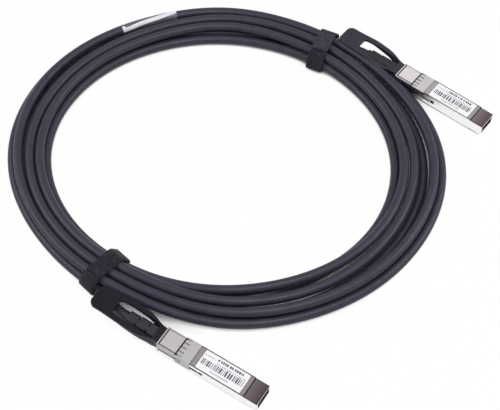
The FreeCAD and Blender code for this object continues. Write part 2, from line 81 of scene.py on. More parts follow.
# Lift over a strap: whole up to 4.5 degrees from it, none from 13.5 degrees on
LIFT_PLATEAU, LIFT_DEGREES = 1.5, 9.0
START_SEARCH = 60                                 # the first station is within this many points of the line

# Settling of the strands: rounds, spacing in radii, and in each round the share of an overlap that each strand
# is pushed, of the way back to its first route, and of the smoothing of heights and of added bends
SETTLE_ROUNDS, STRAND_SPACING = 400, 2.02
PUSH, PULL_BACK, LEVEL_OUT, KEEP_BEND = 0.3, 0.02, 0.25, 0.15

# How far out each turn lies, 0 at the bundle's inner outline and 1 at its outer one, at each station,
# and the layer that it lies in.
TURNS = (
    (LOW, (0.94, 0.91, 1.02, 1.02, 1.04, 1.08, 0.98, 0.97, 1.07, 0.97, 0.96, 0.99)),
    (HIGH, (0.79, 0.77, 0.82, 0.86, 0.81, 0.91, 0.79, 0.77, 0.87, 0.79, 0.78, 0.76)),
    (HIGH, (0.48, 0.47, 0.48, 0.42, 0.42, 0.61, 0.49, 0.38, 0.42, 0.38, 0.45, 0.42)),
    (HIGH, (0.17, 0.16, 0.19, 0.14, 0.14, 0.30, 0.15, 0.13, 0.19, 0.15, 0.09, 0.07)),
    (LOW, (0.02, 0.00, 0.03, -0.01, -0.03, 0.00, 0.00, 0.00, 0.00, 0.00, 0.03, 0.22)),
    (LOW, (0.32, 0.30, 0.36, 0.28, 0.30, 0.28, 0.40, 0.57, 0.65, 0.575, 0.64, 0.78)),
    (LOW, (0.63, 0.61, 0.70, 0.66, 0.62, 0.58, 0.70)),
)

# Straps: centre x, y and the bearing across the bundle
STRAPS = {"strap_upper": (18.5859, 104.6470, 65.4), "strap_lower": (-113.8141, -60.8530, 225.5)}
STRAP_FREE_END = {"strap_upper": -2.0, "strap_lower": 5.5}   # where on top the second layer ends
STRAP_FLAP = {"strap_upper": 14.0, "strap_lower": 6.0}
STRAP_SLACK = {"strap_upper": 0.6, "strap_lower": 0.4}       # how loose it is at the inner side
STRAP_REACH = 30.0            # crossings further than this from a strap's centre are on the coil's far side
STRAP_CLEAR = 0.12            # between the tape and a strand
STRAP_FLOOR_GAP = 0.05        # between the tape and the floor
STRAND_SIDES = 40             # points round each strand that the tape goes round
STRAP_STEP = 0.6              # about how far apart the tape's stations are
FACES_UP = 0.8                # the tape counts as on top where its normal points up this far
FLAP_RAMP = 5.0               # length over which the second layer climbs
LAYER_GAP = 0.04              # between the tape's two layers
SWAY = ((0.18, 9.0), (0.05, 2.3))   # sideways waves of the tape: how far, and their length over two pi
END_WIDTH = 0.985             # share of the width at the cut ends
STRAP_RIM = 0.2               # what the rounded rim takes off half the width
# The tape's section: across it from -1 to 1, and from its inner side to its outer one from 0 to 1
STRAP_SECTION = ((-1.0, 0.18), (-0.97, 0.0), (-0.5, 0.0), (0.0, 0.0), (0.5, 0.0), (0.97, 0.0), (1.0, 0.18),
                 (1.0, 0.7), (0.965, 1.0), (0.5, 1.0), (0.0, 1.0), (-0.5, 1.0), (-0.965, 1.0), (-1.0, 0.7))

# Marker: a clear film wrapped on the outer turn, with a white printing area that runs round it like a screw
MARK_TURN = 1
MARK_BEARINGS = (126.9, 105.6)
MARK_T = 0.16
MARK_LIFT = 0.05                                   # of the white area above the film
MARK_STATIONS = 60
FILM_COLUMNS, AREA_COLUMNS = 49, 17                # points round the film, and across the white area
MARK_LOWER = (171, 165, 153, 145, 136, 119, 102)   # angles round the cord, from outward over the top, at even
MARK_UPPER = (123, 116, 102, 94, 83, 65, 44)       # stations along the marker
MARK_BAR = (0.35, 93)                              # across its start: how many stations long, and up to what angle

# Rating label, in the plug's own axes
LABEL_A, LABEL_B = 24.4, 53.4
LABEL_TOP = 8.32
BARS_X = (25.6, 52.2)
BARS_Y = (-2.5, 1.1)
MARKS = ((25.4, 32.4, 3.5, 0.6, 0.7), (33.4, 49.4, 4.1, 1.5, 1.2), (33.8, 51.8, 1.9, 0.6, 0.7),
         (32.8, 45.4, -4.1, 0.6, 0.7))     # rows of small marks: from x, to x, y, height, greatest length
BAR_WIDTHS, BAR_SPACES = (0.4, 0.6, 0.9), (0.5, 0.6, 0.9)
SHORTEST_MARK, MARK_SPACES = 0.45, (0.35, 0.45, 0.9)     # the shortest one is a share of the greatest length
PRINT_LIFT = 0.015
SEAM, TIP = 56.3, 65.1
COLLAR_FRONT, BLOCK_END = 20.8, 11.0

# Return springs, in the plug's own axes: the pocket's wall, its length, and how far the slider moves
SPRING_A, SPRING_ROOM, SLIDE = 12.0, 6.4, 2.0
SPRING_Y, SPRING_Z = 5.8, 2.25
SPRING_R, SPRING_WIRE, SPRING_TURNS = 0.52, 0.1, 6      # outer radius, the wire's radius
SPRING_RINGS, WIRE_SIDES = 20, 8                        # rings of points in each turn, points in each ring
SPRING_TURNED, SPRING_RISEN = (0, 0.14, 0.86, 1), (0, 0.03, 0.97, 1)   # closed ends: little rise in them

# Where painted shadow lies on a plug's top, in the gaps between its parts and along its top edges: from x, to x, from
# y, to y
SHELL_PAINTED_SHADOWS = ((10.7, 11.6, -6.8, 6.8), (-3.0, 10.8, -5.5, -5.1), (-3.0, 10.8, 5.1, 5.5), (-0.5, 0.2, -5.1, 5.1),
              (20.8, 65.0, -6.9, -6.35), (20.8, 65.0, 6.35, 6.9), (SEAM - 0.25, SEAM + 0.25, -6.8, 6.8))
COLLAR_PAINTED_SHADOWS = ((11.0, 14.8, -6.0, -5.0), (11.0, 14.8, -3.35, -2.45), (11.0, 14.8, -0.45, 0.45),
               (11.0, 14.8, 2.45, 3.35), (11.0, 14.8, 5.0, 6.0))

# Noise runs over less than 0 to 1: what is taken as its lowest and highest value, for colours and for numbers
COLOUR_NOISE, VALUE_NOISE = (0.35, 0.65), (0.3, 0.7)

# Painted shade in corners: how far off a neighbour counts, how open a point is where the shade is full and where it
# ends, what is left of the colour in full shade, and what a gap between parts takes off it
SHADE_SAMPLES = 8
CORNER_REACH, CORNER_OPEN, CORNER_LEFT = 1.8, (0.45, 0.90), 0.12
GAP_SHADE = 0.9

# Floor: half its side, how far it lies below the object, and the same values for its shade
FLOOR_HALF, FLOOR_DROP = 3000.0, 0.2
FLOOR_REACH, FLOOR_OPEN = 14.0, (0.20, 0.44)

# Light: the room's strength for what falls on the object and for what it mirrors, and the lamps' names, places
# in metres, sizes and watts
ROOM_LIGHT, ROOM_GLOSS = 0.18, 0.95
FLOOR_GLOW = 0.96      # how white the open floor is, where 1 is white
LAMPS = (("left", (-0.95, 0.1, 0.75), 0.6, 5.5), ("right", (0.95, 0.1, 0.75), 0.6, 6.0),
         ("overhead", (0.1, -0.25, 1.0), 0.35, 4.5))


# Camera

def make_camera():
    data = bpy.data.cameras.new("camera")
    data.sensor_width = SENSOR_MM
    data.lens = FOCAL_PIXELS / PICTURE_WIDTH * SENSOR_MM
    camera = bpy.data.objects.new("camera", data)
    bpy.context.scene.collection.objects.link(camera)
    lift = math.radians(CAMERA_ELEVATION)
    target = Vector(CAMERA_TARGET) * MM
    back = Vector((0, -math.cos(lift), math.sin(lift)))
    camera.location = target + back * CAMERA_DISTANCE * MM
    camera.rotation_mode = "QUATERNION"
    camera.rotation_quaternion = (-back).to_track_quat("-Z", "Y")
    bpy.context.scene.camera = camera


# Places

def from_plug(plug, x, y, z):
    """A point given in a plug's own axes (x forward from its rear face, y left, z up), in metres."""
    px, py, turn, _ = PLUG_PLACE[plug]
    c, s = math.cos(math.radians(turn)), math.sin(math.radians(turn))
    return Vector((px + x * c - y * s, py + x * s + y * c, z + PLUG_FLOOR_GAP)) * MM


def outline_radius(outline, bearing, inset):
    """Distance from the outlines' centre to an ellipse pulled in by an inset, along a bearing."""
    x, y, half_length, half_width, turn = outline
    c, s = math.cos(math.radians(bearing - turn)), math.sin(math.radians(bearing - turn))
    ox, oy = OUTLINE_CENTRE[0] - x, OUTLINE_CENTRE[1] - y
    tc, ts = math.cos(math.radians(turn)), math.sin(math.radians(turn))
    ax, ay = half_length - inset, half_width - inset
    px, py = (ox * tc + oy * ts) / ax, (-ox * ts + oy * tc) / ay
    dx, dy = c / ax, s / ay
    a, b, k = dx * dx + dy * dy, px * dx + py * dy, px * px + py * py - 1
    return (-b + math.sqrt(b * b - a * k)) / a


def smooth_row(values, steps):
    """Values at even stations, filled in smoothly (Catmull-Rom) with so many steps from each to the next."""
    v = [values[0]] + list(values) + [values[-1]]
    out = []
    for i in range(1, len(v) - 2):
        for k in range(steps):
            t = k / steps
            out.append(0.5 * (2 * v[i] + (v[i + 1] - v[i - 1]) * t
                              + (2 * v[i - 1] - 5 * v[i] + 4 * v[i + 1] - v[i + 2]) * t * t
                              + (3 * v[i] - v[i - 1] - 3 * v[i + 1] + v[i + 2]) * t ** 3))
    return np.array(out + [values[-1]])


# Cord

def floor_under(bearings):
    """Height of what the cord's centre rests at: the floor, and a strap where one passes underneath."""
    height = np.full(len(bearings), CORD_R)
    for x, y, _ in STRAPS.values():
        at = math.degrees(math.atan2(y - OUTLINE_CENTRE[1], x - OUTLINE_CENTRE[0]))
        off = np.abs((bearings - at + 180) % 360 - 180)
        height += STRAP_T * np.clip(LIFT_PLATEAU - off / LIFT_DEGREES, 0, 1)
    return height


def settle(radius, height, floor):
    """Pushes strands that lie in each other apart. They stay smooth and on the floor."""
    first_radius, first_height = radius.copy(), height.copy()
    for _ in range(SETTLE_ROUNDS):
        out, up = np.zeros(len(radius)), np.zeros(len(radius))
        for gap in range(TURN_STEPS, len(radius), TURN_STEPS):
            across, above = radius[gap:] - radius[:-gap], height[gap:] - height[:-gap]
            apart = np.maximum(np.hypot(across, above), 0.001)
            share = PUSH * np.clip(STRAND_SPACING * CORD_R - apart, 0, None) / apart
            out[gap:] += share * across
            out[:-gap] -= share * across
            up[gap:] += share * above
            up[:-gap] -= share * above
        radius, height = radius + out, height + up
        radius += PULL_BACK * (first_radius - radius)
        height += PULL_BACK * (first_height - height)
        height[1:-1] += LEVEL_OUT * (0.5 * (height[2:] + height[:-2]) - height[1:-1])
        bend = 0.5 * (radius[2:] + radius[:-2]) - radius[1:-1]
        first_bend = 0.5 * (first_radius[2:] + first_radius[:-2]) - first_radius[1:-1]
        radius[1:-1] += KEEP_BEND * (bend - first_bend)
        height = np.maximum(height, floor)
    return radius, height


def coil_points():
    """The points of the coil's turns."""
    steps = TURN_STEPS // STATIONS
    lanes = smooth_row([lane for _, row in TURNS for lane in row], steps)
    height = smooth_row([layer for layer, row in TURNS for _ in row], steps)
    bearings = FIRST_BEARING - np.arange(len(lanes)) * 360.0 / TURN_STEPS
    inner = np.array([outline_radius(INNER, b, -CORD_R) for b in bearings])
    outer = np.array([outline_radius(OUTER, b, CORD_R) for b in bearings])
    radius, height = settle(inner + lanes * (outer - inner), height, floor_under(bearings))
    cut = 0.75 + 0.25 * math.cos(2 * math.pi / TURN_STEPS)   # how far the spline passes inside its points
    angle = np.radians(bearings)
    x = OUTLINE_CENTRE[0] + radius / cut * np.cos(angle)
    y = OUTLINE_CENTRE[1] + radius / cut * np.sin(angle)
    return [Vector(p) * MM for p in zip(x, y, height)]


def lead_points(plug):
    """The lead's points, from inside the strain relief to where the coil begins."""
    side = PLUG_PLACE[plug][3]
    along, sideways, height = LEAD_TO_COIL
    return [from_plug(plug, LEAD_START, 0, AXIS_HEIGHT), from_plug(plug, LEAD_STRAIGHT_END, 0, AXIS_HEIGHT),
            from_plug(plug, along, side * sideways, height)]


def make_cord():
    """The cord as one curve, and the line of points that its centre follows."""
    points = lead_points("a") + coil_points()[1:] + lead_points("b")[::-1]
    data = bpy.data.curves.new("cord", "CURVE")
    data.dimensions = "3D"
    spline = data.splines.new("NURBS")
    spline.points.add(len(points) - 1)
    for p, co in zip(spline.points, points):
        p.co = (*co, 1.0)
        p.radius = CORD_R * MM
    spline.order_u = 3
    spline.use_endpoint_u = True
    data.resolution_u = 6
    cord = bpy.data.objects.new("cord", data)
    bpy.context.scene.collection.objects.link(cord)
    bpy.context.view_layer.update()
    mesh = bpy.data.meshes.new_from_object(cord)
    line = np.array([v.co for v in mesh.vertices])
    bpy.data.meshes.remove(mesh)
    data.bevel_depth = 1.0      # times each point's radius
    data.bevel_resolution = 6
    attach(cord, "cable")
    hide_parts("cable_coil", "cable_lead_a", "cable_lead_b")
    return cord, line


def cord_frames(line):
    """At each point of the cord's line, across it: outward from the coil, and up."""
    along = np.gradient(line, axis=0)
    along /= np.linalg.norm(along, axis=1)[:, None]
    out = np.cross(along, (0, 0, 1.0))
    out /= np.linalg.norm(out, axis=1)[:, None]
    centre = np.array((*OUTLINE_CENTRE, 0)) * MM
    out *= np.sign(((line - centre) * out).sum(axis=1))[:, None]
    up = np.cross(out, along)
    up *= np.sign(up[:, 2])[:, None]
    return out, up


def turned_so_far(line):
    """Degrees round the coil's centre at each point of the line, from the first station on."""
    centre = np.array(OUTLINE_CENTRE) * MM
    at = np.unwrap(np.arctan2(line[:, 1] - centre[1], line[:, 0] - centre[0]))
    start = np.argmin(np.abs(np.degrees(at) % 360 - FIRST_BEARING)[:START_SEARCH])
    return np.degrees(at[start] - at)


def new_mesh(name, points, faces, body, smooth=True):
    """A piece made of points in metres, that moves with a body."""
    mesh = bpy.data.meshes.new(name)
    mesh.from_pydata([tuple(p) for p in points], [], faces)
    mesh.update()
    if smooth:
        mesh.shade_smooth()
    piece = bpy.data.objects.new(name, mesh)
    bpy.context.scene.collection.objects.link(piece)
    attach(piece, body)
    return piece


def grid_faces(rows, columns, first=0):
    """Quads between neighbouring rows and columns of points."""
    faces = []
    for r in range(rows - 1):
        for c in range(columns - 1):
            a = first + r * columns + c
            faces.append((a, a + 1, a + columns + 1, a + columns))
    return faces


# Straps

def crossings(line, x, y, turn, shift):
    """Where the cord passes a strap's plane: distance across the bundle, and height, in millimetres."""
    c, s = math.cos(math.radians(turn)), math.sin(math.radians(turn))
    across = (line[:, 0] / MM - x) * c + (line[:, 1] / MM - y) * s
    past = -(line[:, 0] / MM - x) * s + (line[:, 1] / MM - y) * c - shift
    found = []
    for i in np.flatnonzero(past[:-1] * past[1:] <= 0):
        t = past[i] / (past[i] - past[i + 1])
        place = across[i] + t * (across[i + 1] - across[i])
        if abs(place) < STRAP_REACH:
            found.append((place, (line[i, 2] + t * (line[i + 1, 2] - line[i, 2])) / MM))
    return found


def hull(points):
    """The points' convex outline, counter-clockwise."""
    def half(ordered):
        out = []
        for p in ordered:
            while len(out) > 1 and ((out[-1][0] - out[-2][0]) * (p[1] - out[-2][1])
                                    <= (out[-1][1] - out[-2][1]) * (p[0] - out[-2][0])):
                out.pop()
            out.append(p)
        return out[:-1]
    ordered = sorted(points)
    return half(ordered) + half(ordered[::-1])


def band_path(name, line):
    """The line that the strap's inner side follows, closed, counter-clockwise, at even steps, and those steps."""
    x, y, turn = STRAPS[name]
    points = []
    for shift in (-STRAP_W / 2, 0.0, STRAP_W / 2):
        for across, height in crossings(line, x, y, turn, shift):
            for k in range(STRAND_SIDES):
                a = 2 * math.pi * k / STRAND_SIDES
                r = CORD_R + STRAP_CLEAR + STRAP_SLACK[name] * max(0.0, -math.cos(a)) ** 2
                points.append((across + r * math.cos(a), height + r * math.sin(a)))
    outline = np.array(hull(points))
    outline[:, 1] = np.maximum(outline[:, 1], STRAP_T + STRAP_FLOOR_GAP)
    closed = np.vstack([outline, outline[:1]])
    length = np.concatenate([[0], np.cumsum(np.linalg.norm(np.diff(closed, axis=0), axis=1))])
    steps = int(length[-1] / STRAP_STEP)
    at = np.linspace(0, length[-1], steps + 1)[:-1]
    path = np.stack([np.interp(at, length, closed[:, 0]), np.interp(at, length, closed[:, 1])], axis=1)
    return path, length[-1] / steps


def make_strap(name, line):
    """A tape that goes once round the bundle and then lies on itself, with a soft rounded rim."""
    path, step = band_path(name, line)
    count = len(path)
    side = np.roll(path, -1, axis=0) - np.roll(path, 1, axis=0)
    normal = np.stack([side[:, 1], -side[:, 0]], axis=1)
    for _ in range(3):
        normal = normal + np.roll(normal, 1, axis=0) + np.roll(normal, -1, axis=0)
        normal /= np.linalg.norm(normal, axis=1)[:, None]
    on_top = normal[:, 1] > FACES_UP
    end = min(np.flatnonzero(on_top), key=lambda i: abs(path[i, 0] - STRAP_FREE_END[name]))
    flap = int(STRAP_FLAP[name] / step)
    ramp = int(FLAP_RAMP / step)
    x, y, turn = STRAPS[name]
    c, s = math.cos(math.radians(turn)), math.sin(math.radians(turn))
    points, phase = [], random.uniform(0, 6)
    (slow_wave, slow_length), (fine_wave, fine_length) = SWAY
    total = count + flap
    for k in range(total + 1):
        i = (end - flap + k) % count
        rise = (STRAP_T + LAYER_GAP) * np.clip((k - count + ramp) / ramp, 0, 1)
        sway = (slow_wave * math.sin(k * step / slow_length + phase)
                + fine_wave * math.sin(k * step / fine_length))
        narrow = END_WIDTH if k in (0, total) else 1.0
        for across, high in STRAP_SECTION:
            out = rise + high * STRAP_T
            p = path[i] + normal[i] * out
            along = across * narrow * (STRAP_W / 2 - STRAP_RIM) + sway
            points.append(Vector((x + p[0] * c - along * s, y + p[0] * s + along * c, p[1])) * MM)
    n = len(STRAP_SECTION)
    faces = []
    for k in range(total):
        for q in range(n):
            a, b = k * n + q, k * n + (q + 1) % n
            faces.append((a, b, b + n, a + n))
    faces.append(tuple(range(n))[::-1])
    faces.append(tuple(range(total * n, total * n + n)))
    strap = new_mesh("tape_" + name, points, faces, "cable")
    for k, face in enumerate(strap.data.polygons):
        face.material_index = 1 if k // n >= count else 0
    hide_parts(name)
    return strap


# Marker

def make_marker(line):
    """The film goes all the way round; the white area is a strip on it."""
    turned = turned_so_far(line)
    first, last = (FIRST_BEARING - b + 360 * MARK_TURN for b in MARK_BEARINGS)
    inside = np.flatnonzero((turned > first) & (turned < last))
    stations = np.linspace(inside[0], inside[-1], MARK_STATIONS)
    row = np.arange(len(line))
    out, up = cord_frames(line)
    centre, side, top = (np.stack([np.interp(stations, row, a[:, k]) for k in range(3)], axis=1)
                         for a in (line, out, up))

    def surface(lower, upper, radius, columns):
        points = []
        for p, o, u, a, b in zip(centre, side, top, lower, upper):
            for f in np.radians(np.linspace(a, b, columns)):
                points.append(p + (o * math.cos(f) + u * math.sin(f)) * radius * MM)
        return points

    whole = np.zeros(len(stations))
    film = new_mesh("marker_film", surface(whole, whole + 360, CORD_R + MARK_T, FILM_COLUMNS),
                    grid_faces(len(stations), FILM_COLUMNS), "cable")
    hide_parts("wrap_marker")
    even = np.linspace(0, len(MARK_LOWER) - 1, len(stations))
    lower = np.interp(even, range(len(MARK_LOWER)), MARK_LOWER)
    upper = np.interp(even, range(len(MARK_UPPER)), MARK_UPPER)
    upper = np.where(even < MARK_BAR[0], MARK_BAR[1], upper)
    area = new_mesh("marker_area", surface(lower, upper, CORD_R + MARK_T + MARK_LIFT, AREA_COLUMNS),
                    grid_faces(len(stations), AREA_COLUMNS), "cable")
    return film, area


# Return springs

def make_spring(plug, name, side):
    """A coil of round wire with closed ends. The slider's lug presses it towards the shell's pocket wall."""
    start, length = SPRING_A + SPRING_WIRE, SPRING_ROOM - 2 * SPRING_WIRE
    rings, sides = SPRING_RINGS * SPRING_TURNS, WIRE_SIDES
    points = []
    for k in range(rings + 1):
        at = k / rings
        along = start + length * np.interp(at, SPRING_TURNED, SPRING_RISEN)
        turned = 2 * math.pi * SPRING_TURNS * at
        for q in range(sides):
            a = 2 * math.pi * q / sides
            r = SPRING_R - SPRING_WIRE + SPRING_WIRE * math.cos(a)
            points.append(from_plug(plug, along + SPRING_WIRE * math.sin(a), side * SPRING_Y + r * math.cos(turned),
                                    SPRING_Z + r * math.sin(turned)))
    faces = []
    for k in range(rings):
        for q in range(sides):
            a, b = k * sides + q, k * sides + (q + 1) % sides
            faces.append((a, b, b + sides, a + sides))
    faces.append(tuple(range(sides))[::-1])
    faces.append(tuple(range(rings * sides, rings * sides + sides)))
    spring = new_mesh("wire_" + name, points, faces, "cable")
    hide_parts(name)
    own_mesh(spring)
    return spring


# Label print

def make_print(plug):
    """Bars, and rows of small marks in place of words."""
    quads = []
    x = BARS_X[0]
    while x < BARS_X[1]:
        width = random.choice(BAR_WIDTHS)
        quads.append((x, min(x + width, BARS_X[1]), *BARS_Y))
        x += width + random.choice(BAR_SPACES)
    for x, end, y, height, longest in MARKS:
        while x < end:
            length = random.uniform(SHORTEST_MARK, 1.0) * longest
            quads.append((x, x + length, y - height / 2, y + height / 2))
            x += length + random.choice(MARK_SPACES)
    points, faces = [], []
    for x0, x1, y0, y1 in quads:
        first = len(points)
        points += [from_plug(plug, x, y, LABEL_TOP + PRINT_LIFT) for x, y in ((x0, y0), (x1, y0), (x1, y1), (x0, y1))]
        faces.append(tuple(range(first, first + 4)))
    return new_mesh("print_" + plug, points, faces, "cable", smooth=False)


# Materials

def new_material(name, colour, roughness, metallic=0.0):
    """A principled material, and what the other functions here need to add detail to it."""
    material = bpy.data.materials.new(name)
    material.use_nodes = True
    tree = material.node_tree
    shader = tree.nodes["Principled BSDF"]
    shader.inputs["Base Color"].default_value = (*colour, 1)
    shader.inputs["Roughness"].default_value = roughness
    shader.inputs["Metallic"].default_value = metallic
    place = tree.nodes.new("ShaderNodeTexCoord")
    return material, tree, shader, place.outputs["Object"]


def stretched(tree, place, scale, turn=0.0):
    """Coordinates turned about Z by some degrees, then scaled along each axis."""
    turned = tree.nodes.new("ShaderNodeMapping")
    turned.inputs["Rotation"].default_value = (0, 0, math.radians(-turn))
    tree.links.new(place, turned.inputs["Vector"])
    scaled = tree.nodes.new("ShaderNodeMapping")
    scaled.inputs["Scale"].default_value = scale
    tree.links.new(turned.outputs["Vector"], scaled.inputs["Vector"])
    return scaled.outputs["Vector"]


def noise(tree, place, size_mm, detail=3.0):
    node = tree.nodes.new("ShaderNodeTexNoise")
    node.inputs["Scale"].default_value = 1.0 / (size_mm * MM)
    node.inputs["Detail"].default_value = detail
    tree.links.new(place, node.inputs["Vector"])
    return node.outputs["Fac"]


def between(tree, factor, low, high):
    """Colours from low to high as a factor goes over its usual range."""
    ramp = tree.nodes.new("ShaderNodeValToRGB")
    for stop, at, colour in zip(ramp.color_ramp.elements, COLOUR_NOISE, (low, high)):
        stop.position = at
        stop.color = (*colour, 1)
    tree.links.new(factor, ramp.inputs["Fac"])
    return ramp.outputs["Color"]


def remapped(tree, value, old, new):
    """A value that goes over one range, brought to another and kept within it."""
    node = tree.nodes.new("ShaderNodeMapRange")
    for socket, limit in zip(("From Min", "From Max", "To Min", "To Max"), (*old, *new)):
        node.inputs[socket].default_value = limit
    tree.links.new(value, node.inputs["Value"])
    return node.outputs["Result"]


def values_between(tree, factor, low, high):
    """Numbers from low to high as a noise goes over its usual range."""
    return remapped(tree, factor, VALUE_NOISE, (low, high))


def openness(tree, reach):
    """1 where nothing lies near a point, towards 0 where its surroundings shut it in."""
    node = tree.nodes.new("ShaderNodeAmbientOcclusion")
    node.samples = SHADE_SAMPLES
    node.inputs["Distance"].default_value = reach * MM
    return node.outputs["AO"]


def bump(tree, shader, height, depth_mm, strength):
    node = tree.nodes.new("ShaderNodeBump")
    node.inputs["Strength"].default_value = strength
    node.inputs["Distance"].default_value = depth_mm * MM
    tree.links.new(height, node.inputs["Height"])
    tree.links.new(node.outputs["Normal"], shader.inputs["Normal"])


def lighter(colour, share):
    return tuple(min(1.0, c * (1 + share)) for c in colour)


def plain_surface(name, colour, roughness, metallic=0.0, grain_mm=0.25, depth_mm=0.01, spread=0.12):
    """Colour and gloss that vary softly, with a fine grain."""
    material, tree, shader, place = new_material(name, colour, roughness, metallic)
    cloud = noise(tree, place, 6.0)
    shades = between(tree, cloud, lighter(colour, -spread), lighter(colour, spread))
    tree.links.new(shades, shader.inputs["Base Color"])
    grain = noise(tree, place, grain_mm, 4.0)
    gloss = values_between(tree, grain, roughness - 0.06, roughness + 0.06)
    tree.links.new(gloss, shader.inputs["Roughness"])
    bump(tree, shader, grain, depth_mm, 0.5)
    return material, tree, shader, place


def operation(tree, kind, *values):
    """A math node's result. Values are numbers or other nodes' outputs."""
    node = tree.nodes.new("ShaderNodeMath")
    node.operation = kind
    for socket, value in zip(node.inputs, values):
        if isinstance(value, (int, float)):
            socket.default_value = value
        else:
            tree.links.new(value, socket)
    return node.outputs[0]


def shadow_gaps(tree, across, gaps):
    """1 where painted shadow goes on the plug's top faces, as seen from above: each from x, to x, from y, to y."""
    x, y, up = across
    total = 0.0
    for x0, x1, y0, y1 in gaps:
        inside_x = operation(tree, "COMPARE", x, (x0 + x1) / 2, (x1 - x0) / 2)
        inside_y = operation(tree, "COMPARE", y, (y0 + y1) / 2, (y1 - y0) / 2)
        total = operation(tree, "MAXIMUM", total, operation(tree, "MULTIPLY", inside_x, inside_y))
    return operation(tree, "MULTIPLY", total, operation(tree, "GREATER_THAN", up, 0.5))


def painted_shade_in_corners(tree, colour, shader, gaps):
    """Painted shade: the colour falls where little light can reach, and in the gaps between parts."""
    lit = remapped(tree, openness(tree, CORNER_REACH), CORNER_OPEN, (CORNER_LEFT, 1.0))
    clear = operation(tree, "SUBTRACT", 1.0, operation(tree, "MULTIPLY", gaps, GAP_SHADE))
    mix = tree.nodes.new("ShaderNodeVectorMath")
    mix.operation = "SCALE"
    tree.links.new(colour, mix.inputs[0])
    tree.links.new(operation(tree, "MULTIPLY", lit, clear), mix.inputs["Scale"])
    tree.links.new(mix.outputs["Vector"], shader.inputs["Base Color"])


def jacket_material():
    """Extruded vinyl, satin, with faint marks from the die."""
    material, _, shader, _ = plain_surface("jacket", (0.030, 0.028, 0.046), 0.42, grain_mm=0.5,
                                            depth_mm=0.02, spread=0.12)
    shader.inputs["Specular IOR Level"].default_value = 0.28
    return material


def moulded_material(name, colour, gloss):
    material, _, shader, _ = plain_surface(name, colour, 0.42, grain_mm=0.18, depth_mm=0.015)
    shader.inputs["Specular IOR Level"].default_value = gloss
    return material


def across_plug(tree, place, plug):
    """Millimetres along the plug from its rear face, millimetres across it, and how far the surface faces up."""
    px, py, turn, _ = PLUG_PLACE[plug]
    mapping = tree.nodes.new("ShaderNodeMapping")
    mapping.vector_type = "TEXTURE"
    mapping.inputs["Location"].default_value = (px * MM, py * MM, 0)
    mapping.inputs["Rotation"].default_value = (0, 0, math.radians(turn))
    mapping.inputs["Scale"].default_value = (MM, MM, MM)
    tree.links.new(place, mapping.inputs["Vector"])
    split = tree.nodes.new("ShaderNodeSeparateXYZ")
    tree.links.new(mapping.outputs["Vector"], split.inputs["Vector"])
    surface = tree.nodes.new("ShaderNodeNewGeometry")
    facing = tree.nodes.new("ShaderNodeSeparateXYZ")
    tree.links.new(surface.outputs["Normal"], facing.inputs["Vector"])
    return split.outputs["X"], split.outputs["Y"], facing.outputs["Z"]


def cast_metal(plug, light):
    """Plated die casting with a fine sandy grain. The top grows darker towards the tip, with the nose past the seam a
    painted reflection of dark surroundings, and the side faces are painted pale as a reflection of the white floor.
    """
    material, tree, shader, place = new_material("shell_" + plug, (0.6, 0.58, 0.59), 0.36, 1.0)
    across = across_plug(tree, place, plug)
    # The first colour is a painted reflection of the white floor on the side faces; the ramp's colours darken the top
    # towards the tip, and past the seam they paint a reflection of dark surroundings.
    wall_reflection, plated, darker_top = (0.93, 0.92, 0.925), (0.60, 0.555, 0.57), (0.30, 0.265, 0.28)
    stops = ((0.0, plated), (BLOCK_END, plated), (COLLAR_FRONT, (0.40, 0.37, 0.38)), (LABEL_A, darker_top), (LABEL_B, darker_top),
             (SEAM - 0.5, darker_top), (SEAM + 0.2, (0.17, 0.145, 0.16)), (TIP, (0.085, 0.055, 0.068)))
    ramp = tree.nodes.new("ShaderNodeValToRGB")
    elements = ramp.color_ramp.elements
    elements[-1].position = 0.999
    for at, _ in stops[1:-1]:
        elements.new(at / TIP)
    for stop, (_, colour) in zip(elements, stops):
        # light is a painted light factor: the same casting is painted darker on one plug and lighter on the other.
        stop.color = (*(c * light for c in colour), 1)
    tree.links.new(operation(tree, "DIVIDE", across[0], TIP), ramp.inputs["Fac"])
    finish = tree.nodes.new("ShaderNodeMix")
    finish.data_type = "RGBA"
    tree.links.new(across[2], finish.inputs["Factor"])
    finish.inputs["A"].default_value = (*wall_reflection, 1)
    tree.links.new(ramp.outputs["Color"], finish.inputs["B"])
    painted_shade_in_corners(tree, finish.outputs["Result"], shader, shadow_gaps(tree, across, SHELL_PAINTED_SHADOWS))
    grain = noise(tree, place, 0.12, 4.0)
    tree.links.new(values_between(tree, grain, 0.30, 0.44), shader.inputs["Roughness"])
    bump(tree, shader, grain, 0.006, 0.5)
    return material


def sheet_metal(plug, light):
    """Stamped sheet, brushed along the plug. Its colour is scaled by the plug's painted light factor, with painted
    shade in its slots and corners.
    """
    colour = tuple(c * light for c in (0.58, 0.565, 0.575))
    material, tree, shader, place = new_material("sheet_" + plug, colour, 0.33, 1.0)
    lines = noise(tree, stretched(tree, place, (0.06, 1, 1), PLUG_PLACE[plug][2]), 0.08, 2.0)
    shades = between(tree, lines, lighter(colour, -0.08), lighter(colour, 0.05))
    painted_shade_in_corners(tree, shades, shader, shadow_gaps(tree, across_plug(tree, place, plug), COLLAR_PAINTED_SHADOWS))
    tree.links.new(values_between(tree, lines, 0.28, 0.41), shader.inputs["Roughness"])
    bump(tree, shader, lines, 0.004, 0.5)
    return material


def woven_material(name, dark, light):
    """Hook-and-loop tape: a fine weave under a short nap."""
    material, tree, shader, place = new_material(name, dark, 0.85)
    nap = noise(tree, place, 0.35, 5.0)
    cloud = noise(tree, place, 2.0)
    tree.links.new(between(tree, cloud, dark, light), shader.inputs["Base Color"])
    shader.inputs["Specular IOR Level"].default_value = 0.2
    shader.inputs["Sheen Weight"].default_value = 0.12
    shader.inputs["Sheen Roughness"].default_value = 0.4
    bump(tree, shader, nap, 0.12, 0.8)
    return material


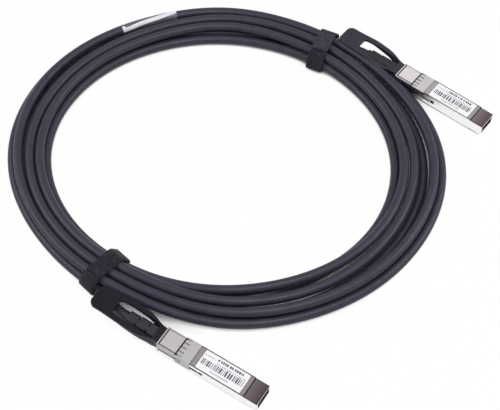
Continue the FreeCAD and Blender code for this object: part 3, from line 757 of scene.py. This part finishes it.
def film_material():
    """Clear glossy film: the dark jacket shows through."""
    material, _, shader, _ = plain_surface("marker_film", (0.30, 0.30, 0.33), 0.22, grain_mm=1.5, depth_mm=0.02)
    shader.inputs["Alpha"].default_value = 0.35
    return material


def set_material(node, material):
    slots = node.data.materials
    if len(slots) == 0:
        slots.append(material)
    for i in range(len(slots)):
        slots[i] = material


def dress_plugs():
    board = plain_surface("board", (0.02, 0.10, 0.04), 0.35)[0]
    gold = plain_surface("gold", (0.85, 0.60, 0.22), 0.25, 1.0)[0]
    chip = plain_surface("chip", (0.02, 0.02, 0.022), 0.45)[0]
    foil = plain_surface("foil", (0.80, 0.80, 0.82), 0.3, 1.0, grain_mm=0.6, depth_mm=0.03)[0]
    paper = plain_surface("label", (0.90, 0.89, 0.91), 0.45, grain_mm=0.3, depth_mm=0.004, spread=0.02)[0]
    ink = plain_surface("ink", (0.020, 0.018, 0.035), 0.5, grain_mm=0.3, depth_mm=0.002)[0]
    # Each plug: a painted light factor for its casting and its sheet, and its tab's colour, painted darker on a than
    # on b for how light falls on each plug, and the tab's gloss
    for plug, cast_painted_light, sheet_painted_light, tab_painted_tone in (("a", 0.77, 0.77, ((0.009, 0.008, 0.013), 0.13)),
                                                ("b", 1.18, 1.0, ((0.022, 0.020, 0.031), 0.28))):
        shell = cast_metal(plug, cast_painted_light)
        boot = moulded_material("boot_" + plug, (0.010, 0.009, 0.015), 0.4)
        tab = moulded_material("tab_" + plug, *tab_painted_tone)
        sheet = sheet_metal(plug, sheet_painted_light)
        finish = {"shell_top": shell, "shell_bottom": shell, "emi_collar": sheet, "release_slider": sheet,
                  "shell_screw": sheet, "crimp_ferrule": sheet, "circuit_board": board, "board_contacts": gold,
                  "board_components": chip, "conductor_pairs": foil, "rating_label": paper,
                  "strain_relief": boot, "pull_tab": tab}
        for name, material in finish.items():
            set_material(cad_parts[name + "_" + plug], material)
        set_material(make_print(plug), ink)
        for name, side in (("return_spring_left_", 1), ("return_spring_right_", -1)):
            set_material(make_spring(plug, name + plug, side), sheet)


# Lights

def make_world():
    """White behind the object, and a softer room for the light that falls on it."""
    world = bpy.data.worlds.new("studio")
    bpy.context.scene.world = world
    world.use_nodes = True
    tree = world.node_tree
    tree.nodes.clear()
    path = tree.nodes.new("ShaderNodeLightPath")
    seen = operation(tree, "MAXIMUM", path.outputs["Is Camera Ray"], path.outputs["Is Transmission Ray"])
    out = tree.nodes.new("ShaderNodeOutputWorld")
    rooms = []
    for strength in (ROOM_LIGHT, ROOM_GLOSS, 1.0):
        node = tree.nodes.new("ShaderNodeBackground")
        node.inputs["Color"].default_value = (1, 1, 1, 1)
        node.inputs["Strength"].default_value = strength
        rooms.append(node.outputs[0])
    shader = rooms[0]
    for factor, room in ((path.outputs["Is Glossy Ray"], rooms[1]), (seen, rooms[2])):
        mix = tree.nodes.new("ShaderNodeMixShader")
        tree.links.new(factor, mix.inputs["Fac"])
        tree.links.new(shader, mix.inputs[1])
        tree.links.new(room, mix.inputs[2])
        shader = mix.outputs[0]
    tree.links.new(shader, out.inputs["Surface"])


def make_lamps():
    for name, place, size, power in LAMPS:
        data = bpy.data.lights.new(name, "AREA")
        data.shape = "SQUARE"
        data.size = size
        data.energy = power
        lamp = bpy.data.objects.new(name, data)
        lamp.location = place
        lamp.rotation_mode = "QUATERNION"
        lamp.rotation_quaternion = Vector(place).to_track_quat("Z", "Y")
        bpy.context.scene.collection.objects.link(lamp)


def make_floor():
    """White to the camera and in reflections, except where the object shuts the light out."""
    mesh = bpy.data.meshes.new("floor")
    r = FLOOR_HALF * MM
    mesh.from_pydata([(-r, -r, 0), (r, -r, 0), (r, r, 0), (-r, r, 0)], [], [(0, 1, 2, 3)])
    floor = bpy.data.objects.new("floor", mesh)
    floor.location.z = -FLOOR_DROP * MM
    bpy.context.scene.collection.objects.link(floor)
    material = bpy.data.materials.new("floor")
    material.use_nodes = True
    tree = material.node_tree
    shader = tree.nodes["Principled BSDF"]
    shader.inputs["Roughness"].default_value = 0.8
    path = tree.nodes.new("ShaderNodeLightPath")
    seen = operation(tree, "MAXIMUM", path.outputs["Is Camera Ray"], path.outputs["Is Glossy Ray"])
    glow = tree.nodes.new("ShaderNodeEmission")
    glow.inputs["Color"].default_value = (1, 1, 1, 1)
    glow.inputs["Strength"].default_value = 1.0
    lit = remapped(tree, openness(tree, FLOOR_REACH), FLOOR_OPEN, (0.0, FLOOR_GLOW))
    tree.links.new(lit, shader.inputs["Base Color"])
    mix = tree.nodes.new("ShaderNodeMixShader")
    tree.links.new(operation(tree, "MULTIPLY", seen, lit), mix.inputs["Fac"])
    tree.links.new(shader.outputs[0], mix.inputs[1])
    tree.links.new(glow.outputs[0], mix.inputs[2])
    tree.links.new(mix.outputs[0], tree.nodes["Material Output"].inputs["Surface"])
    mesh.materials.append(material)


make_camera()
cord, cord_line = make_cord()
cord.data.materials.append(jacket_material())
dress_plugs()
# Painted light on the straps: the loop-face flaps are lighter than the hook face, partly their own colour and partly
# painted for a lit top against a shaded inner wall, and the upper strap's flap is painted lighter than the lower
# strap's.
tape = woven_material("tape_hooks", (0.009, 0.008, 0.014), (0.024, 0.022, 0.032))
flaps = {"strap_upper": woven_material("tape_upper", (0.026, 0.024, 0.035), (0.052, 0.048, 0.062)),
         "strap_lower": woven_material("tape_lower", (0.012, 0.011, 0.017), (0.030, 0.028, 0.038))}
for name in STRAPS:
    strap = make_strap(name, cord_line)
    set_material(strap, tape)
    strap.data.materials.append(flaps[name])
film, area = make_marker(cord_line)
set_material(film, film_material())
set_material(area, plain_surface("marker_white", (0.78, 0.77, 0.83), 0.4, grain_mm=1.0, spread=0.05)[0])
make_world()
make_lamps()
make_floor()
bpy.context.scene.view_settings.view_transform = "Standard"
